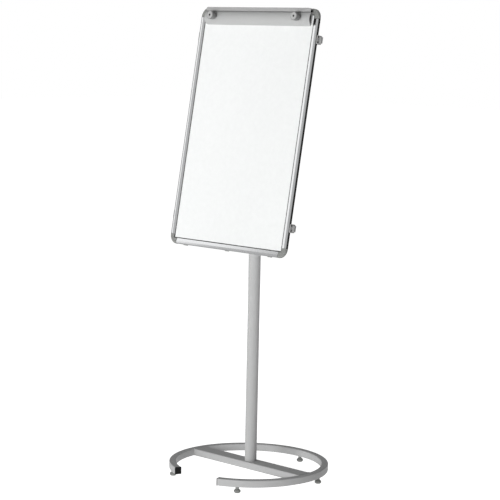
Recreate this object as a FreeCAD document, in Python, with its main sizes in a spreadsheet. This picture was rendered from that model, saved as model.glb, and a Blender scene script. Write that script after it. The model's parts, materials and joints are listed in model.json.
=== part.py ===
"""Flipchart easel: a tilting board on a telescopic column and a C-shaped tube base.

Millimetres. +X is the right-hand side of someone who faces the board, +Y points behind the
board and +Z is up. The origin is on the floor, on the axis of the column.
"""
import FreeCAD
import Part
import Sketcher
import os
import re
from FreeCAD import Placement, Rotation, Vector

SIZES = {
    # base
    "ring_radius": 334,
    "ring_width": 28,
    "ring_height": 30,
    "ring_gap_half_angle": 21.8,
    "base_wall": 2,
    "tube_edge_round": 3,
    "base_underside": 25,
    "crossbar_width": 68,
    "plug_flange": 3,
    "plug_depth": 14,
    "plug_gap": 0.5,
    # levelling feet
    "foot_count": 5,
    "foot_radius": 14,
    "foot_sole_radius": 10,
    "foot_belly_height": 4,
    "foot_disc_height": 10,
    "foot_cone_top": 17,
    "foot_neck_radius": 7,
    "foot_stud_radius": 4,
    "foot_stud_length": 18,
    "insert_radius": 6,
    "insert_length": 14,
    "insert_flange_radius": 9,
    "insert_flange": 1.5,
    "shaft_gap": 0.08,
    # column
    "column_radius": 25,
    "column_wall": 2,
    "column_top": 1150,
    "spigot_length": 80,
    "column_bolt_radius": 6,
    "column_bolt_length": 60,
    "column_bolt_head": 8,
    "running_gap": 0.3,
    "bush_length": 110,
    "collar_radius": 31,
    "collar_height": 48,
    "collar_cap": 5,
    "collar_boss_radius": 11,
    "collar_boss_reach": 42,
    "knob_stud_radius": 4,
    # mast
    "mast_radius": 20,
    "mast_wall": 2,
    "mast_length": 840,
    "guide_length": 40,
    "head_drop": 35,
    "head_width": 40,
    "head_radius": 15,
    "head_plug_length": 50,
    # tilt hinge
    "tilt_axis_height": 1575,
    "tilt_axis_up": 637,
    "tilt_axis_back": 66,
    "tilt_angle": 10,
    "tilt_bolt_radius": 6,
    "tilt_washer_radius": 13,
    "tilt_washer": 2,
    "ear_thickness": 5,
    "ear_radius": 16,
    "bracket_width": 70,
    "bracket_height": 100,
    "bracket_plate": 4,
    "screw_radius": 3,
    "screw_head_radius": 5,
    "screw_head": 3,
    "screw_length": 10,
    # turning knobs
    "knob_radius": 23,
    "knob_depth": 22,
    "knob_lobes": 6,
    # board
    "board_width": 664,
    "board_height": 1000,
    "frame_face": 24,
    "frame_depth": 12,
    "frame_round": 5,
    "frame_flat": 7,
    "frame_slope": 2.2,
    "frame_chamber": 7.5,
    "frame_wall": 1.6,
    "panel_inset": 14,
    "panel_front": 3,
    "surface_thickness": 0.8,
    "core_thickness": 6.2,
    "back_thickness": 0.8,
    "corner_leg": 40,
    "corner_radius": 38,
    "seal_width": 6,
    "seal_depth": 2,
    "tongue_length": 24,
    "tongue_gap": 0.2,
    "clip_width": 18,
    "clip_thickness": 2.5,
    "clip_leg": 26,
    "clip_inset": 90,
    # rear rails and paper arms
    "rail_wall": 3,
    "rail_inset": 122.5,
    "arm_height": 28,
    "arm_depth": 13,
    "arm_wall": 1.5,
    "arm_gap": 0.4,
    "arm_meeting_gap": 40,
    "bezel_thickness": 4,
    "bezel_front": 4,
    "bezel_edge_round": 2,
    "arm_cap": 24,
    "arm_cap_spigot": 20,
    "spine_width": 70,
    "spine_depth": 18,
    "spine_wall": 2,
    # pad clamp
    "bar_overlap": 4,
    "bar_radius": 36,
    "bar_wall": 2,
    "bar_end_round": 10,
    "bar_cap": 3,
    "bar_cap_recess": 1,
    "bar_cap_gap": 9,
    "bar_bulge": 16,
    "bar_centre_drop": 40,
    "hinge_drop": 13,
    "hinge_out": 8.1,
    "hinge_bead_radius": 3,
    "hinge_lip": 2,
    "hinge_gap": 4,
    "hinge_cap_depth": 13,
    "hinge_plate": 2,
    "hinge_plate_height": 60,
    "hinge_end_round": 12,
    "pad_knob_inset": 95,
    "pad_knob_drop": 39,
    "pad_knob_radius": 17,
    "pad_knob_depth": 28,
    "pad_knob_lobes": 10,
    "pad_stud_radius": 3,
    "pad_stud_recess": 2,
    "bar_hole_radius": 5.5,
    "bar_boss_radius": 9,
    "bar_boss_rise": 0.5,
}

doc = FreeCAD.newDocument("flipchart_easel")
sheet = doc.addObject("Spreadsheet::Sheet", "sizes")
nodes = []


def fill_sheet():
    """Write each driving size as a plain number in a cell with an alias."""
    for row, (alias, number) in enumerate(SIZES.items(), start=1):
        sheet.set("A%d" % row, alias)
        sheet.set("B%d" % row, str(number))
        sheet.setAlias("B%d" % row, alias)
    doc.recompute()


def cells(expression):
    """Point each alias in an expression at its cell of the sheet."""
    def point(word):
        return "sizes." + word.group() if word.group() in SIZES else word.group()
    return re.sub(r"[a-z][a-z_]*", point, expression)


def value(expression):
    """Return the number that an expression of the sheet's aliases gives now."""
    return float(sheet.evalExpression(expression))


def bind(item, **sizes):
    for name, expression in sizes.items():
        item.setExpression(name, cells(expression))


def put(item, x, y, z):
    """Bind the place of a primitive to the sheet."""
    for axis, expression in (("x", x), ("y", y), ("z", z)):
        item.setExpression("Placement.Base." + axis, cells(expression))


def node(item, label, placement=None):
    """Keep an object as a named sub-part of the easel."""
    item.Label = label
    if placement:
        item.Placement = placement
    nodes.append(item)
    return item


# Part primitives and booleans

AXES = {"x": Vector(1, 0, 0), "y": Vector(0, 1, 0), "z": Vector(0, 0, 1)}


def block(x, y, z, length, width, height):
    """Box from its low corner."""
    item = doc.addObject("Part::Box", "block")
    bind(item, Length=length, Width=width, Height=height)
    put(item, x, y, z)
    return item


def bar(x, y, z, length, width, height):
    """Box centred on x and running from y and z."""
    return block("%s - (%s)/2" % (x, length), y, z, length, width, height)


def rod(axis, x, y, z, radius, height):
    """Cylinder that runs along an axis from the centre of its first face."""
    item = doc.addObject("Part::Cylinder", "rod")
    item.Placement = Placement(Vector(), Rotation(AXES["z"], AXES[axis]))
    bind(item, Radius=radius, Height=height)
    put(item, x, y, z)
    return item


def hexagon(axis, x, y, z, radius, height):
    """Six-sided prism that runs along an axis, like a bolt's head or a nut."""
    item = doc.addObject("Part::Prism", "hexagon")
    item.Polygon = 6
    item.Placement = Placement(Vector(), Rotation(AXES["z"], AXES[axis]))
    bind(item, Circumradius=radius, Height=height)
    put(item, x, y, z)
    return item


def fuse(*items):
    item = doc.addObject("Part::MultiFuse", "fuse")
    item.Shapes = list(items)
    return item


def cut(base, *tools):
    item = doc.addObject("Part::Cut", "cut")
    item.Base = base
    item.Tool = tools[0] if len(tools) == 1 else fuse(*tools)
    return item


def common(*items):
    item = doc.addObject("Part::MultiCommon", "common")
    item.Shapes = list(items)
    return item


def group(*items):
    """Separate solids that share one node."""
    item = doc.addObject("Part::Compound", "group")
    item.Links = list(items)
    return item


# PartDesign bodies and sketches

def new_body(name):
    return doc.addObject("PartDesign::Body", name)


def new_sketch(body, role):
    """Sketch on one of the origin planes of its own body."""
    sketch = body.newObject("Sketcher::SketchObject", "sketch")
    plane = next(p for p in body.Origin.OriginFeatures if p.Role == role)
    sketch.AttachmentSupport = [(plane, "")]
    sketch.MapMode = "FlatFace"
    return sketch


def hold(sketch, geometry, point, x, y):
    """Hold a point of a sketch at two expressions, measured from the origin."""
    for kind, expression, axis in (("DistanceX", x, -2), ("DistanceY", y, -1)):
        if expression == "0":
            sketch.addConstraint(Sketcher.Constraint("PointOnObject", geometry, point, axis))
            continue
        held = Sketcher.Constraint(kind, -1, 1, geometry, point, value(expression))
        index = sketch.addConstraint(held)
        sketch.setExpression("Constraints[%d]" % index, cells(expression))


def outline(sketch, corners):
    """Closed loop of straight lines through corners given as pairs of expressions."""
    points = [Vector(value(x), value(y), 0) for x, y in corners]
    first = sketch.GeometryCount
    for start, end in zip(points, points[1:] + points[:1]):
        sketch.addGeometry(Part.LineSegment(start, end), False)
    for index, (x, y) in enumerate(corners):
        before = first + (index - 1) % len(corners)
        sketch.addConstraint(Sketcher.Constraint("Coincident", before, 2, first + index, 1))
        hold(sketch, first + index, 1, x, y)


def rectangle(x_low, y_low, x_high, y_high):
    return [(x_low, y_low), (x_high, y_low), (x_high, y_high), (x_low, y_high)]


def circle(sketch, x, y, radius):
    centre = Vector(value(x), value(y), 0)
    index = sketch.addGeometry(Part.Circle(centre, AXES["z"], value(radius)), False)
    hold(sketch, index, 3, x, y)
    held = sketch.addConstraint(Sketcher.Constraint("Radius", index, value(radius)))
    sketch.setExpression("Constraints[%d]" % held, cells(radius))


def pad(body, sketch, length):
    feature = body.newObject("PartDesign::Pad", "pad")
    feature.Profile = sketch
    bind(feature, Length=length)
    sketch.Visibility = False
    body.Tip = feature
    return feature


def revolve(body, sketch, angle="360", axis="V_Axis"):
    feature = body.newObject("PartDesign::Revolution", "revolution")
    feature.Profile = sketch
    feature.ReferenceAxis = (sketch, [axis])
    bind(feature, Angle=angle)
    body.Tip = feature
    return feature


def fillet(body, radius, chosen):
    """Round the edges of a body's last feature that a test picks."""
    doc.recompute()
    base = body.Tip
    names = ["Edge%d" % (i + 1) for i, edge in enumerate(base.Shape.Edges) if chosen(edge)]
    feature = body.newObject("PartDesign::Fillet", "fillet")
    feature.Base = (base, names)
    bind(feature, Radius=radius)
    body.Tip = feature
    return feature


def near(number, target):
    return abs(number - target) < 0.001


fill_sheet()

# Frames of the tilted board and of the base ring

TILT = Rotation(AXES["x"], -value("tilt_angle"))
TILT_AXIS = Vector(0, 0, value("tilt_axis_height"))
BOARD = Placement(
    TILT_AXIS - TILT.multVec(Vector(0, value("tilt_axis_back"), value("tilt_axis_up"))), TILT)
GAP_COSINE = "cos(ring_gap_half_angle * 1deg)"
GAP_SINE = "sin(ring_gap_half_angle * 1deg)"
RING_CENTRE_Y = "(plug_flange * %s - ring_radius * (1 - %s)) / 2" % (GAP_SINE, GAP_COSINE)
RING_MID_RADIUS = "(ring_radius - ring_width / 2)"
BASE_TOP = "(base_underside + ring_height)"
RING_CENTRE = Vector(0, value(RING_CENTRE_Y), 0)


def foot_angles():
    """Directions of the feet about the ring's centre, one of them straight back."""
    step = 360 / value("foot_count")
    return [90 + step * index for index in range(int(value("foot_count")))]


def foot_centre(angle):
    """Expressions of a foot's x and y."""
    x = "%s * cos(%g deg)" % (RING_MID_RADIUS, angle)
    y = "%s + %s * sin(%g deg)" % (RING_CENTRE_Y, RING_MID_RADIUS, angle)
    return x, y


def is_ring_edge(edge):
    """Whether an edge runs round the outer skin of the ring's tube."""
    radii = (value("ring_radius"), value("ring_radius - ring_width"))
    return isinstance(edge.Curve, Part.Circle) and any(near(edge.Curve.Radius, r) for r in radii)


def make_base_ring():
    """Square tube bent to a C, open at the front, with a hole for each foot's insert."""
    body = new_body("ring_tube")
    sketch = new_sketch(body, "XZ_Plane")
    outline(sketch, rectangle("ring_radius - ring_width", "base_underside",
                              "ring_radius", BASE_TOP))
    outline(sketch, rectangle("ring_radius - ring_width + base_wall",
                              "base_underside + base_wall",
                              "ring_radius - base_wall", BASE_TOP + " - base_wall"))
    revolve(body, sketch, "360 - 2 * ring_gap_half_angle")
    fillet(body, "tube_edge_round", is_ring_edge)
    body.Placement = Placement(RING_CENTRE, Rotation(AXES["z"], 270 + value("ring_gap_half_angle")))
    holes = []
    for angle in foot_angles():
        x, y = foot_centre(angle)
        holes.append(rod("z", x, y, "base_underside - base_wall", "insert_radius", "3 * base_wall"))
    node(cut(body, *holes), "base_ring")


def make_crossbar():
    """Flat tube across the ring, its ends coped to the inside of the ring."""
    inner_radius = "(ring_radius - ring_width)"
    body = new_body("flat_tube")
    sketch = new_sketch(body, "YZ_Plane")
    outline(sketch, rectangle("-crossbar_width / 2", "base_underside",
                              "crossbar_width / 2", BASE_TOP))
    outline(sketch, rectangle("-crossbar_width / 2 + base_wall", "base_underside + base_wall",
                              "crossbar_width / 2 - base_wall", BASE_TOP + " - base_wall"))
    pad(body, sketch, "2 * ring_radius").Midplane = True
    outer_y = value("crossbar_width / 2")
    fillet(body, "tube_edge_round", lambda edge: near(abs(edge.CenterOfMass.y), outer_y)
           and near(edge.CenterOfMass.x, 0))
    cope = rod("z", "0", RING_CENTRE_Y, "0", inner_radius, BASE_TOP + " + 1")
    bolt_hole = rod("z", "0", "0", "0", "column_bolt_radius", BASE_TOP + " + 1")
    node(cut(common(body, cope), bolt_hole), "crossbar")


def make_end_plugs():
    """Plastic plugs that close the two cut ends of the ring."""
    for label, side in (("end_plug_left", -1), ("end_plug_right", 1)):
        body = new_body("plug")
        sketch = new_sketch(body, "XZ_Plane")
        outline(sketch, rectangle("-ring_width / 2", "-ring_height / 2",
                                  "ring_width / 2", "ring_height / 2"))
        flange = pad(body, sketch, "plug_flange")
        flange.Reversed = side < 0
        inset = "(base_wall + plug_gap)"
        spigot = new_sketch(body, "XZ_Plane")
        outline(spigot, rectangle("-ring_width / 2 + %s" % inset, "-ring_height / 2 + %s" % inset,
                                  "ring_width / 2 - %s" % inset, "ring_height / 2 - %s" % inset))
        stem = pad(body, spigot, "plug_depth")
        stem.Reversed = side > 0
        turn = Rotation(AXES["z"], 270 + side * value("ring_gap_half_angle"))
        arm = turn.multVec(Vector(value(RING_MID_RADIUS), 0, 0))
        lift = Vector(0, 0, value("base_underside + ring_height / 2"))
        node(body, label, Placement(RING_CENTRE + arm + lift, turn))


def make_feet():
    """Levelling feet: a bellied pad, a cone, a neck and a stud, screwed into inserts."""
    inserts = []
    for index, angle in enumerate(foot_angles(), start=1):
        x, y = foot_centre(angle)
        body = new_body("foot")
        sketch = new_sketch(body, "XZ_Plane")
        neck_top = "base_underside - running_gap"
        stud_top = "base_underside + foot_stud_length"
        outline(sketch, [
            ("0", "0"), ("foot_sole_radius", "0"), ("foot_radius", "foot_belly_height"),
            ("foot_radius", "foot_disc_height"), ("foot_neck_radius", "foot_cone_top"),
            ("foot_neck_radius", neck_top),
            ("foot_stud_radius", neck_top), ("foot_stud_radius", stud_top), ("0", stud_top)])
        revolve(body, sketch)
        node(body, "foot_%d" % index, Placement(Vector(value(x), value(y), 0), Rotation()))
        sleeve = fuse(
            rod("z", x, y, "base_underside", "insert_radius", "insert_length"),
            rod("z", x, y, "base_underside + base_wall", "insert_flange_radius", "insert_flange"))
        bore = rod("z", x, y, "0", "foot_stud_radius + shaft_gap", "2 * base_underside")
        inserts.append(cut(sleeve, bore))
    node(group(*inserts), "foot_inserts")


def make_column():
    """Outer tube on a spigot that one bolt from below holds on the crossbar."""
    body = new_body("outer_tube")
    sketch = new_sketch(body, "XY_Plane")
    circle(sketch, "0", "0", "column_radius")
    circle(sketch, "0", "0", "column_radius - column_wall")
    pad(body, sketch, "column_top - " + BASE_TOP)
    body.Placement.Base = Vector(0, 0, value(BASE_TOP))
    clamp_hole = rod("y", "0", "0", "column_top - collar_height / 2",
                     "knob_stud_radius + shaft_gap", "2 * column_radius")
    node(cut(body, clamp_hole), "column_tube")

    plug = rod("z", "0", "0", BASE_TOP, "column_radius - column_wall", "spigot_length")
    thread = rod("z", "0", "0", BASE_TOP, "column_bolt_radius",
                 "column_bolt_length - ring_height")
    node(cut(plug, thread), "column_spigot")
    shank = rod("z", "0", "0", "base_underside", "column_bolt_radius", "column_bolt_length")
    head = hexagon("z", "0", "0", "base_underside - column_bolt_head",
                   "1.8 * column_bolt_radius", "column_bolt_head")
    node(fuse(shank, head), "column_bolt")


def make_height_clamp():
    """Glide bush, clamp collar and clamp knob at the top of the outer tube."""
    sleeve = rod("z", "0", "0", "column_top - bush_length",
                 "column_radius - column_wall", "bush_length")
    rim = rod("z", "0", "0", "column_top", "column_radius", "2")
    bore = rod("z", "0", "0", "0", "mast_radius + running_gap", "2 * column_top")
    knob_hole = rod("y", "0", "0", "column_top - collar_height / 2",
                    "knob_stud_radius + shaft_gap", "2 * column_radius")
    node(cut(fuse(sleeve, rim), bore, knob_hole), "glide_bush")

    shell = rod("z", "0", "0", "column_top - collar_height", "collar_radius",
                "collar_height + collar_cap")
    boss = rod("y", "0", "0", "column_top - collar_height / 2", "collar_boss_radius",
               "collar_boss_reach")
    seat = rod("z", "0", "0", "0", "column_radius", "column_top + 2")
    mouth = rod("z", "0", "0", "0", "mast_radius + running_gap", "2 * column_top")
    thread = rod("y", "0", "0", "column_top - collar_height / 2",
                 "knob_stud_radius + shaft_gap", "2 * collar_boss_reach")
    node(cut(fuse(shell, boss), seat, mouth, thread), "height_collar")

    knob = hand_knob("knob_radius", "knob_depth", "knob_lobes", STAR_FLUTES,
                     "knob_stud_radius", "collar_boss_reach - mast_radius")
    turn = Rotation(AXES["z"], AXES["y"])
    start = Vector(0, value("collar_boss_reach + running_gap"),
                   value("column_top - collar_height / 2"))
    node(knob, "height_knob", Placement(start, turn))


# Radius of a knob's flutes and the distance of their centres, as shares of its radius
STAR_FLUTES = (0.3, 1.12)
FINE_FLUTES = (0.14, 1.07)


def hand_knob(radius, depth, lobes, flutes, stud_radius, stud_length):
    """Fluted hand knob along +Z with a cone under its rim and a stud behind it."""
    flute_share, reach_share = flutes
    hub = doc.addObject("Part::Cone", "hub")
    bind(hub, Radius1="0.62 * " + radius, Radius2=radius, Height="0.3 * " + depth)
    rim = rod("z", "0", "0", "0.3 * " + depth, radius, "0.7 * " + depth)
    cutters = []
    count = int(value(lobes))
    for index in range(count):
        angle = 360 / count * index
        reach = "%g * %s" % (reach_share, radius)
        cutters.append(rod("z", "%s * cos(%g deg)" % (reach, angle),
                           "%s * sin(%g deg)" % (reach, angle), "-" + depth,
                           "%g * %s" % (flute_share, radius), "3 * " + depth))
    stud = rod("z", "0", "0", "-(%s)" % stud_length, stud_radius, "%s + 1" % stud_length)
    return fuse(cut(fuse(hub, rim), *cutters), stud)


def make_mast():
    """Inner tube that slides in the column and carries the tilt head."""
    mast_top = "(tilt_axis_height - head_drop)"
    mast_bottom = "(%s - mast_length)" % mast_top
    body = new_body("mast")
    sketch = new_sketch(body, "XY_Plane")
    circle(sketch, "0", "0", "mast_radius")
    circle(sketch, "0", "0", "mast_radius - mast_wall")
    pad(body, sketch, "mast_length")
    node(body, "inner_tube", Placement(Vector(0, 0, value(mast_bottom)), Rotation()))

    skirt = rod("z", "0", "0", mast_bottom + " - 3", "column_radius - column_wall - running_gap",
                "guide_length")
    socket = rod("z", "0", "0", mast_bottom, "mast_radius", "guide_length")
    spigot = rod("z", "0", "0", mast_bottom + " - 3", "mast_radius - mast_wall",
                 "guide_length")
    node(fuse(cut(skirt, socket), spigot), "mast_guide")

    plug = rod("z", "0", "0", mast_top + " - head_plug_length", "mast_radius - mast_wall",
               "head_plug_length")
    shoulder = rod("z", "0", "0", mast_top, "mast_radius", "4")
    neck = bar("0", "-head_radius", mast_top, "head_width", "2 * head_radius", "head_drop")
    eye = rod("x", "-head_width / 2", "0", "tilt_axis_height", "head_radius", "head_width")
    pivot = rod("x", "-head_width", "0", "tilt_axis_height", "tilt_bolt_radius",
                "2 * head_width")
    slim = common(fuse(shoulder, neck, eye),
                  rod("z", "0", "0", mast_top, "1.2 * mast_radius", "2 * head_drop"))
    node(cut(fuse(plug, slim), pivot), "head_block")


def make_tilt_hinge():
    """Pivot bolt through the head, with its washers and the knob that clamps the tilt."""
    cheek = "(head_width / 2 + running_gap + ear_thickness)"
    washer_in = cheek + " + running_gap"
    washer_out = "(%s + tilt_washer)" % washer_in
    shank = rod("x", "-" + washer_out, "0", "tilt_axis_height", "tilt_bolt_radius",
                "2 * %s + knob_depth / 2" % washer_out)
    head = hexagon("x", "-%s - tilt_bolt_radius" % washer_out, "0", "tilt_axis_height",
                   "1.8 * tilt_bolt_radius", "tilt_bolt_radius")
    node(fuse(shank, head), "tilt_bolt")
    washers = []
    for start in ("-" + washer_out, washer_in):
        disc = rod("x", start, "0", "tilt_axis_height", "tilt_washer_radius", "tilt_washer")
        hole = rod("x", "-head_width", "0", "tilt_axis_height", "tilt_bolt_radius",
                   "2 * head_width")
        washers.append(cut(disc, hole))
    node(group(*washers), "tilt_washers")

    knob = hand_knob("knob_radius", "knob_depth", "knob_lobes", STAR_FLUTES,
                     "tilt_bolt_radius", "0")
    bore = rod("z", "0", "0", "-1", "tilt_bolt_radius + shaft_gap", "1 + knob_depth / 2 + 1")
    start = Vector(value(washer_out) + value("running_gap"), 0, value("tilt_axis_height"))
    node(cut(knob, bore), "tilt_knob", Placement(start, Rotation(AXES["z"], AXES["x"])))


def make_panel():
    """Steel writing surface, light core and back sheet, all held in the rails' grooves."""
    front = "panel_front"
    for label, thickness in (("writing_surface", "surface_thickness"),
                             ("board_core", "core_thickness"), ("back_sheet", "back_thickness")):
        sheet_part = bar("0", front, "panel_inset", "board_width - 2 * panel_inset", thickness,
                         "board_height - 2 * panel_inset")
        node(group(sheet_part), label, BOARD)
        front = front + " + " + thickness


PANEL_BACK = "(panel_front + surface_thickness + core_thickness + back_thickness)"


def make_frame_rails():
    """Four rails with a groove for the panel, a rebate for the seal and a chamber."""
    height = value("board_height")
    half = value("board_width / 2")
    leg = value("corner_leg")
    places = (
        ("frame_left", "board_height - 2 * corner_leg", Vector(-half, 0, leg), 0),
        ("frame_right", "board_height - 2 * corner_leg", Vector(half, 0, height - leg), 180),
        ("frame_bottom", "board_width - 2 * corner_leg", Vector(half - leg, 0, 0), -90),
        ("frame_top", "board_width - 2 * corner_leg", Vector(leg - half, 0, height), 90),
    )
    for label, length, start, angle in places:
        body = new_body("rail")
        sketch = new_sketch(body, "XY_Plane")
        outline(sketch, [
            ("0", "0"), ("frame_round + frame_flat", "0"), ("frame_face", "frame_slope"),
            ("frame_face", "panel_front"), ("panel_inset", "panel_front"),
            ("panel_inset", PANEL_BACK), ("frame_face", PANEL_BACK),
            ("frame_face", "frame_depth"), ("seal_depth", "frame_depth"),
            ("seal_depth", "frame_depth - seal_width"), ("0", "frame_depth - seal_width")])
        outline(sketch, chamber("0"))
        pad(body, sketch, length)
        fillet(body, "frame_round", lambda edge: near(edge.BoundBox.XMax, 0)
               and near(edge.BoundBox.YMax, 0))
        node(body, label, BOARD * Placement(start, Rotation(AXES["y"], angle)))


def make_edge_seals():
    """Soft strips in the rebates at the outer rear edges of the rails."""
    back = "frame_depth - seal_width"
    upright = "board_height - 2 * corner_leg"
    level = "board_width - 2 * corner_leg"
    seals = [
        block("-board_width / 2", back, "corner_leg", "seal_depth", "seal_width", upright),
        block("board_width / 2 - seal_depth", back, "corner_leg", "seal_depth", "seal_width",
              upright),
        bar("0", back, "0", level, "seal_width", "seal_depth"),
        bar("0", back, "board_height - seal_depth", level, "seal_width", "seal_depth"),
    ]
    node(group(*seals), "edge_seals", BOARD)


def chamber(gap):
    """Square hollow along a rail, or the tongue that fills it with a gap all round."""
    right = "panel_inset - frame_wall"
    back = "frame_depth - frame_wall"
    return rectangle("%s - frame_chamber + %s" % (right, gap),
                     "%s - frame_chamber + %s" % (back, gap),
                     "%s - %s" % (right, gap), "%s - %s" % (back, gap))


def is_outer_front_edge(edge):
    """Whether an edge of a corner piece runs round its outside at the front."""
    reach = value("corner_radius")
    box = edge.BoundBox
    outside = box.XMin < 0.001 or box.ZMin < 0.001
    short = max(box.XMin, box.ZMin) < reach + 0.001
    return near(box.YMin, 0) and near(box.YMax, 0) and outside and short


def make_corners():
    """Rounded corner pieces whose tongues join the rails."""
    half = value("board_width / 2")
    height = value("board_height")
    places = (
        ("corner_bottom_left", Vector(-half, 0, 0), 0),
        ("corner_top_left", Vector(-half, 0, height), 90),
        ("corner_top_right", Vector(half, 0, height), 180),
        ("corner_bottom_right", Vector(half, 0, 0), 270),
    )
    for label, start, angle in places:
        body = new_body("corner")
        sketch = new_sketch(body, "XZ_Plane")
        outline(sketch, [
            ("0", "0"), ("corner_leg", "0"), ("corner_leg", "frame_face"),
            ("frame_face", "frame_face"), ("frame_face", "corner_leg"), ("0", "corner_leg")])
        pad(body, sketch, "frame_depth").Reversed = True
        fillet(body, "corner_radius", lambda edge: near(edge.BoundBox.XMax, 0)
               and near(edge.BoundBox.ZMax, 0))
        fillet(body, "frame_round", is_outer_front_edge)
        groove = block("panel_inset", "panel_front", "panel_inset", "corner_leg",
                       PANEL_BACK + " - panel_front", "corner_leg")
        low = "panel_inset - frame_wall - frame_chamber + tongue_gap"
        back = "frame_depth - frame_wall - frame_chamber + tongue_gap"
        side = "frame_chamber - 2 * tongue_gap"
        up = block(low, back, "corner_leg - 1", side, side, "tongue_length + 1")
        across = block("corner_leg - 1", back, low, "tongue_length + 1", side, side)
        piece = fuse(cut(body, groove), up, across)
        node(piece, label, BOARD * Placement(start, Rotation(AXES["y"], angle)))


def make_clips():
    """Small clips over the top and bottom rails that hold the back sheet in."""
    for label, low, leg_low in (
            ("clips_top", "board_height", "board_height + clip_thickness - clip_leg"),
            ("clips_bottom", "-clip_thickness", "-clip_thickness")):
        clips = []
        for step in (-1, 0, 1):
            x = "%d * (board_width / 2 - clip_inset)" % step
            lip = bar(x, "frame_depth / 2", low, "clip_width",
                      "frame_depth / 2 + clip_thickness", "clip_thickness")
            leg = bar(x, "frame_depth", leg_low, "clip_width", "clip_thickness", "clip_leg")
            clips.append(fuse(lip, leg))
        node(group(*clips), label, BOARD)


RAIL_DEPTH = "(arm_depth + 2 * arm_gap + 2 * rail_wall)"
RAIL_HEIGHT = "(arm_height + 2 * arm_gap + 2 * rail_wall)"
ARM_REACH = "(board_width / 2 + bezel_thickness + running_gap)"
ARM_LENGTH = "(%s - arm_meeting_gap / 2)" % ARM_REACH


def make_rear_rails():
    """Box rails behind the board that the paper arms slide in, and the spine between them."""
    centres = (("rear_rail_lower", "rail_inset"), ("rear_rail_upper", "board_height - rail_inset"))
    for label, centre in centres:
        outer = bar("0", "frame_depth", "%s - %s / 2" % (centre, RAIL_HEIGHT), "board_width",
                    RAIL_DEPTH, RAIL_HEIGHT)
        bore = bar("0", "frame_depth + rail_wall",
                   "%s - %s / 2 + rail_wall" % (centre, RAIL_HEIGHT), "board_width + 2",
                   RAIL_DEPTH + " - 2 * rail_wall", RAIL_HEIGHT + " - 2 * rail_wall")
        node(cut(outer, bore), label, BOARD)
    low = "(rail_inset + %s / 2)" % RAIL_HEIGHT
    tube = bar("0", "frame_depth", low, "spine_width", "spine_depth", "board_height - 2 * " + low)
    hollow = bar("0", "frame_depth + spine_wall", low + " - 1", "spine_width - 2 * spine_wall",
                 "spine_depth - 2 * spine_wall", "board_height - 2 * " + low + " + 2")
    node(cut(tube, hollow, *screw_shanks()), "rear_spine", BOARD)


def screw_places():
    for side in (-1, 1):
        for end in (-1, 1):
            yield ("%d * (bracket_width / 2 - 2 * screw_radius)" % side,
                   "tilt_axis_up + %d * (bracket_height / 2 - 3 * screw_radius)" % end)


def screw_shanks():
    back = "frame_depth + spine_depth + bracket_plate"
    return [rod("y", x, back + " - screw_length", z, "screw_radius", "screw_length")
            for x, z in screw_places()]


def make_board_bracket():
    """Plate on the spine with two ears that the pivot bolt passes through."""
    plate_front = "frame_depth + spine_depth"
    web_front = "(frame_depth + spine_depth + bracket_plate - 1)"
    plate = bar("0", plate_front, "tilt_axis_up - bracket_height / 2", "bracket_width",
                "bracket_plate", "bracket_height")
    ears = []
    for side in (-1, 1):
        x = "%d * (head_width / 2 + running_gap + ear_thickness / 2)" % side
        web = bar(x, web_front, "tilt_axis_up - ear_radius", "ear_thickness",
                  "tilt_axis_back - " + web_front, "2 * ear_radius")
        eye = rod("x", x + " - ear_thickness / 2", "tilt_axis_back", "tilt_axis_up", "ear_radius",
                  "ear_thickness")
        ears.append(fuse(web, eye))
    pivot = rod("x", "-bracket_width", "tilt_axis_back", "tilt_axis_up",
                "tilt_bolt_radius + shaft_gap", "2 * bracket_width")
    node(cut(fuse(plate, *ears), pivot, *screw_shanks()), "board_bracket", BOARD)
    screws = []
    back = "frame_depth + spine_depth + bracket_plate"
    for shank, (x, z) in zip(screw_shanks(), screw_places()):
        head = rod("y", x, back, z, "screw_head_radius", "screw_head")
        screws.append(fuse(shank, head))
    node(group(*screws), "bracket_screws", BOARD)


def make_bezels():
    """Plastic mouths on the ends of the rear rails, lapping over the sides of the frame."""
    bezels = []
    for centre in ("rail_inset", "board_height - rail_inset"):
        for side in (-1, 1):
            middle = "%d * (board_width / 2 + bezel_thickness / 2)" % side
            plate = bar(middle, "bezel_front", "%s - %s / 2" % (centre, RAIL_HEIGHT),
                        "bezel_thickness", "frame_depth + %s - bezel_front" % RAIL_DEPTH,
                        RAIL_HEIGHT)
            mouth = bar(middle, "frame_depth + rail_wall",
                        "%s - %s / 2 + rail_wall" % (centre, RAIL_HEIGHT), "2 * bezel_thickness",
                        RAIL_DEPTH + " - 2 * rail_wall", RAIL_HEIGHT + " - 2 * rail_wall")
            bezels.append(cut(round_across(plate, side), mouth))
    node(group(*bezels), "rail_bezels", BOARD)


def round_across(plate, side):
    """Round the corners of a plate that faces along x, and of its outer face."""
    doc.recompute()
    radius = value("bezel_edge_round")
    outer = side * plate.Shape.BoundBox.XMax if side > 0 else plate.Shape.BoundBox.XMin
    item = doc.addObject("Part::Fillet", "rounded")
    item.Base = plate
    item.Edges = [(i + 1, radius, radius) for i, edge in enumerate(plate.Shape.Edges)
                  if edge.BoundBox.XLength > 0.5 or near(edge.CenterOfMass.x, outer)]
    return item


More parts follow.
